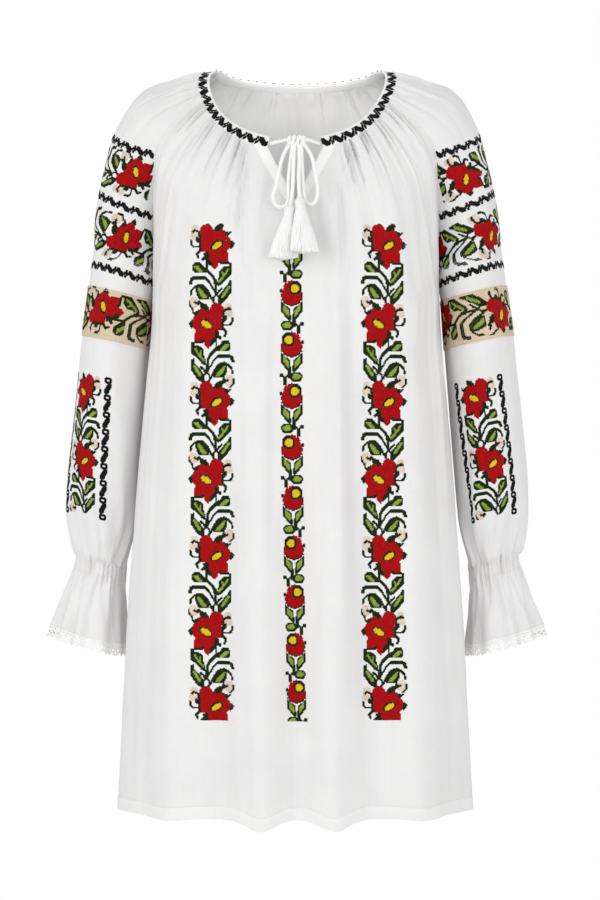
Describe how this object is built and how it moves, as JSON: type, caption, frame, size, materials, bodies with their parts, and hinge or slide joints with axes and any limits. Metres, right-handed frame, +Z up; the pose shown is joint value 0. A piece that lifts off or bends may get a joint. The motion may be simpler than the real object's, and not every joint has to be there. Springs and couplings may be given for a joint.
{
  "type": "romanian ie blouse, filled out as worn",
  "caption": "Long white peasant blouse with gathered neck, tied slit, embroidered panels and frilled cuffs, filled out as worn.",
  "frame": {"origin": "where the wearer's shoulders carry the blouse, on its middle plane and level with the top of its neckline", "axes": "+Z up, the front faces -Y, +X is the wearer's left"},
  "size_m": [0.5996, 0.2898, 0.8948],
  "materials": {
    "white_cotton": "thin crinkled white cotton with a soft sheen, embroidered in red, green, yellow and black cross stitch",
    "black_braid": "wavy black cotton braid",
    "tan_linen": "coarse natural linen band, embroidered",
    "cotton_lace": "fine white cotton lace",
    "cotton_cord": "twisted white cotton cord and tassels"
  },
  "bodies": {
    "root": {"front": "white_cotton", "back": "white_cotton", "sleeve_left": "white_cotton", "sleeve_right": "white_cotton", "cuff_band_left": "white_cotton", "cuff_band_right": "white_cotton", "ruffle_left": "white_cotton", "ruffle_right": "white_cotton", "facing_left": "white_cotton", "facing_right": "white_cotton", "neck_piping": "white_cotton", "neckband": "black_braid", "tan_band_left": "tan_linen", "tan_band_right": "tan_linen", "lace_left": "cotton_lace", "lace_right": "cotton_lace", "cord_left": "cotton_cord", "cord_right": "cotton_cord", "bow_left": "cotton_cord", "bow_right": "cotton_cord", "tail_left": "cotton_cord", "tail_right": "cotton_cord", "bow_knot": "cotton_cord", "tassel_left": "cotton_cord", "tassel_right": "cotton_cord"}
  },
  "joints": []
}
